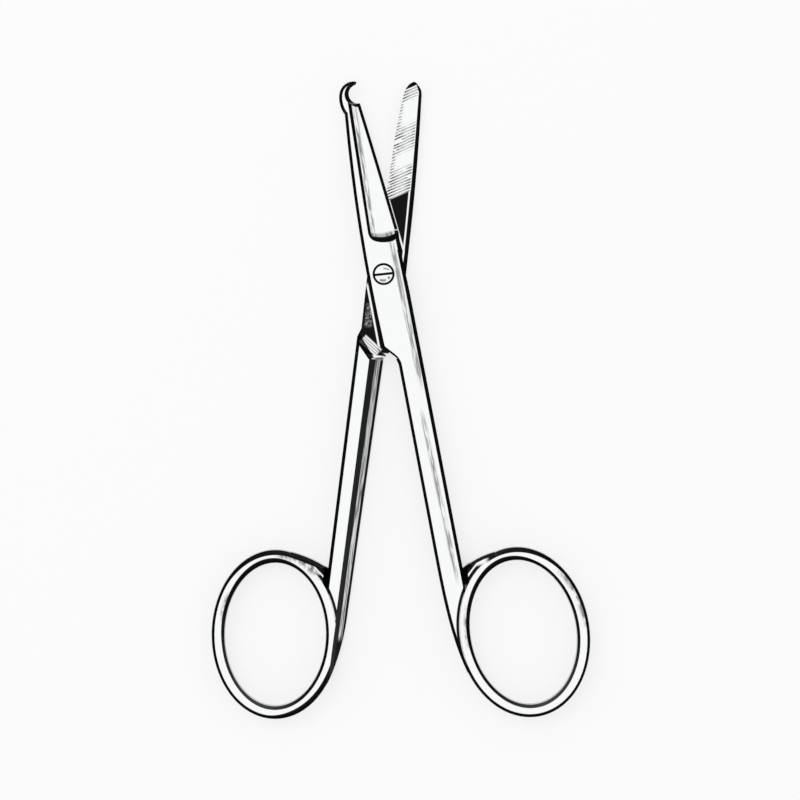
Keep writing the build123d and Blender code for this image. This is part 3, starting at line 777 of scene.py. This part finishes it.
# %% Black in the notch and along the joint plate
NOTCH_CENTRE = (1.52, 31.83)
NOTCH_LINE = (1.5, 2.32, 0.05)
NOTCH_TOP = (-0.6, -0.9)
BEAK_X = (-0.1, 0.4)
BEAK_Y = (33.1, 33.2)
PLATE_X = (3.15, 3.25)
PLATE_Y = (3.2, 7.15, 0.1)
PLATE_Z = (2.4, 2.6)

notch_x, notch_y = x - NOTCH_CENTRE[0], y - NOTCH_CENTRE[1]
notch_line = hook.band(hook.distance(notch_x, notch_y), *NOTCH_LINE) * flat * hook.rise(notch_y, *NOTCH_TOP)
beak_black = hook.rise(x, *BEAK_X) * hook.rise(y, *BEAK_Y)
plate_line = hook.rise(x, *PLATE_X) * hook.band(y, *PLATE_Y) * hook.rise(z, *PLATE_Z)
print("the notch's black line lies", NOTCH_LINE[:2], "mm from its middle")

# %% [markdown]
# Round the screw the sinking is painted black shade. The bevel inside that ring is left out of the edge
# mask, so it gets neither the painted edge shade nor an edge's lower roughness.

# %% Painted shade in the sinking of the screw
SINKING = (1.86, 1.93, 0.03)
SINKING_Z = (2.6, 2.7)
NO_EDGE_NEAR_SCREW = (2.14, 2.10)

from_screw = hook.distance(x, y)
sinking = hook.band(from_screw, *SINKING) * hook.rise(z, *SINKING_Z)
print("black oil lies", SINKING[:2], "mm from the middle of the screw")

# %% [markdown]
# The hook half is put together in the same way. It has no cuts.

# %% Put the hook half's finish together
groove, ring_black, patches = ring_marks(hook, x, y, point, up, HOOK_RING)
corner = crotch_black(hook, x, y, up, HOOK_RING)
edge = edges(hook, up) * (1.0 - hook.rise(from_screw, *NO_EDGE_NEAR_SCREW))
black = hook.most(groove, ring_black, corner, sinking, notch_line, beak_black, plate_line, heel_line)
grey = hook.most(edge_strokes, facet_strokes, patches)
hook_steel = half_finish(hook, belt_marks(hook, point), grey, edge, black, groove)
print("the hook half's finish has", len(hook.tree.nodes), "nodes")

# %% [markdown]
# ## The screw
# The head was turned on a lathe, so its fine lines run round it. The slot's floor and the bevel round the
# head are painted black shade, and a driver has left a short scratch above the slot, and a scuffed patch and
# a nick below it.

# %% Marks on the screw
RIM = (1.53, 1.90, 0.04)
RIM_Z = (2.9, 3.0)
SLOT_Z = (2.9, 3.36, 0.06)
HEAD_EDGE = (2.0, 1.9)
TURNED_PITCH = 0.14
SCRATCH = ((0.0, 1.0, 0.15), (0.92, 1.16, 0.07))
SCRATCH_RUN = 0.3
SCUFF = ((-0.70, 0.40, 0.2), (-1.32, -0.90, 0.12))
SCUFF_BOW = 0.25
NICK = ((0.68, 1.10, 0.1), (-0.90, -0.45, 0.1))
HEAD_TOP_Z = (3.4, 3.5)

screw = Finish("screw_steel")
point = upright(screw, 0)
x, y, z = parts_of(screw, point)

from_axis = screw.distance(x, y)
rim = screw.band(from_axis, *RIM) * screw.rise(z, *RIM_Z)
slot = screw.band(z, *SLOT_Z) * screw.rise(from_axis, *HEAD_EDGE)
scratch = screw.band(x, *SCRATCH[0]) * screw.band(y + x * SCRATCH_RUN, *SCRATCH[1])
scuff = screw.band(x, *SCUFF[0]) * screw.band(y - x * x * SCUFF_BOW, *SCUFF[1])
nick = screw.band(x, *NICK[0]) * screw.band(y, *NICK[1])
marks = screw.most(scratch, scuff, nick) * screw.rise(z, *HEAD_TOP_Z)
print("the head is turned in lines", TURNED_PITCH, "mm apart")

# %% The screw's finish
TURNED_ROUGHNESS = 0.18
MARK_SHARE = 0.85

turned = screw.lines(from_axis, TURNED_PITCH, 0.5, 0.2)
cloud = screw.noise(point, CLOUD_SCALE * 4)
# black: painted shade in the slot and round the head
black = screw.most(rim, slot)
shade = screw.mix(cloud * 0.12, STEEL, WORN_STEEL)
shade = screw.mix(marks * MARK_SHARE, shade, SHADE_AND_SCUFF_GREY)
shade = screw.mix(black, shade, PAINTED_SHADE_BLACK)
roughness = TURNED_ROUGHNESS + 0.04 * turned + 0.08 * (cloud - 0.5)
roughness = roughness + black * (BLACK_ROUGHNESS - TURNED_ROUGHNESS)
screw_steel = metal(screw, shade, roughness, 0.002 * turned - 0.01 * marks)
print("the screw's finish has", len(screw.tree.nodes), "nodes")

# %% [markdown]
# ## Dressing the pieces
# Each CAD piece keeps its mesh and its place. Only the material in its slot is changed.

# %% Give each piece its finish
for name, material in (
    ("plain_half", plain_steel),
    ("hook_half", hook_steel),
    ("pivot_screw", screw_steel),
):
    piece = frame["nodes"][name]
    piece.data.materials.clear()
    piece.data.materials.append(material)
    print(name, "is finished in", material.name)

# %% [markdown]
# ## The floor
# The scissors lie on white card. A real card in soft light comes out a little grey, and a catalogue prints
# it white. So most of what the camera sees of it, directly or mirrored in the steel, is plain white, and the
# rest is the lit card, which keeps the soft shadow under the scissors.

# %% White card
CARD_SIZE = 6
CARD_WHITE = (0.92, 0.92, 0.92, 1)
PRINTED_WHITE = 0.68

bpy.ops.object.select_all(action="DESELECT")
bpy.ops.mesh.primitive_plane_add(size=CARD_SIZE, location=(0, 0, 0))
floor = bpy.context.object
floor.name = "floor"
card = Finish("white_card")
seen = card.most(
    card.node("ShaderNodeLightPath", output="Is Camera Ray"),
    card.node("ShaderNodeLightPath", output="Is Glossy Ray"),
    card.node("ShaderNodeLightPath", output="Is Transmission Ray"),
)
lit_card = card.node("ShaderNodeBsdfDiffuse", None, {"Color": CARD_WHITE})
white = card.node("ShaderNodeEmission", None, {"Color": (1, 1, 1, 1), "Strength": 1.0})
printed = card.node("ShaderNodeMixShader", None, {0: seen * PRINTED_WHITE, 1: lit_card, 2: white})
floor.data.materials.append(card.close(printed))
print("the card is", CARD_SIZE, "m wide")

# %% [markdown]
# ## Soft light all round
# The world is an even white, a little under full strength, so that pale card doesn't clip.

# %% The world
WORLD_STRENGTH = 0.85

world = bpy.data.worlds.new("studio")
scene.world = world
world.use_nodes = True
background = world.node_tree.nodes["Background"]
background.inputs["Color"].default_value = (1, 1, 1, 1)
background.inputs["Strength"].default_value = WORLD_STRENGTH
print("the world's light has a strength of", WORLD_STRENGTH)

# %% [markdown]
# ## A tent for the steel to mirror
# Polished steel shows nothing but its surroundings. Instruments are photographed in a tent of cloth, bright
# overhead and dark round its foot: the flats then mirror the bright top and come out white, and the bevels
# mirror the dark foot and come out black. The tent is a sphere that only reflections see. The colour of its
# glowing cloth depends on the height in it.

# %% The tent
TENT_RADIUS = 0.9
TENT_SEGMENTS = 48
TENT_RINGS = 32
FOOT_LEVEL = 0.28
TOP_LEVEL = 0.66
TENT_GLOW = 1.20
FOOT_CLOTH = (1 / 120, 1 / 120, 1 / 120, 1)
TOP_CLOTH = (1, 1, 1, 1)

bpy.ops.object.select_all(action="DESELECT")
bpy.ops.mesh.primitive_uv_sphere_add(
    segments=TENT_SEGMENTS, ring_count=TENT_RINGS, radius=TENT_RADIUS, location=(0, 0, 0)
)
tent = bpy.context.object
tent.name = "light_tent"
cloth = Finish("tent_cloth")
place = cloth.node("ShaderNodeTexCoord", output="Object")
level = parts_of(cloth, place)[2] * (1 / TENT_RADIUS)
shade = cloth.mix(cloth.rise(level, FOOT_LEVEL, TOP_LEVEL), FOOT_CLOTH, TOP_CLOTH)
light = cloth.node("ShaderNodeEmission", None, {"Color": shade, "Strength": TENT_GLOW})
tent.data.materials.append(cloth.close(light))
tent.visible_camera = False
tent.visible_diffuse = False
tent.visible_shadow = False
tent.visible_transmission = False
print("the tent is dark up to", FOOT_LEVEL, "of its height")

# %% [markdown]
# ## A window
# One broad soft lamp to the upper left gives the shadow a direction. The steel doesn't mirror it, because
# the tent is already what the steel shows.

# %% The window lamp
WINDOW_POWER = 1.2
WINDOW_SIZE = 0.5
WINDOW_PLACE = Vector((-0.35, 0.35, 0.7))

lamp = bpy.data.lights.new("window", "AREA")
lamp.energy = WINDOW_POWER
lamp.size = WINDOW_SIZE
window = bpy.data.objects.new("window", lamp)
window.location = WINDOW_PLACE
window.rotation_euler = (-WINDOW_PLACE).to_track_quat("-Z", "Y").to_euler()
window.visible_glossy = False
scene.collection.objects.link(window)
print("the window gives", WINDOW_POWER, "W")
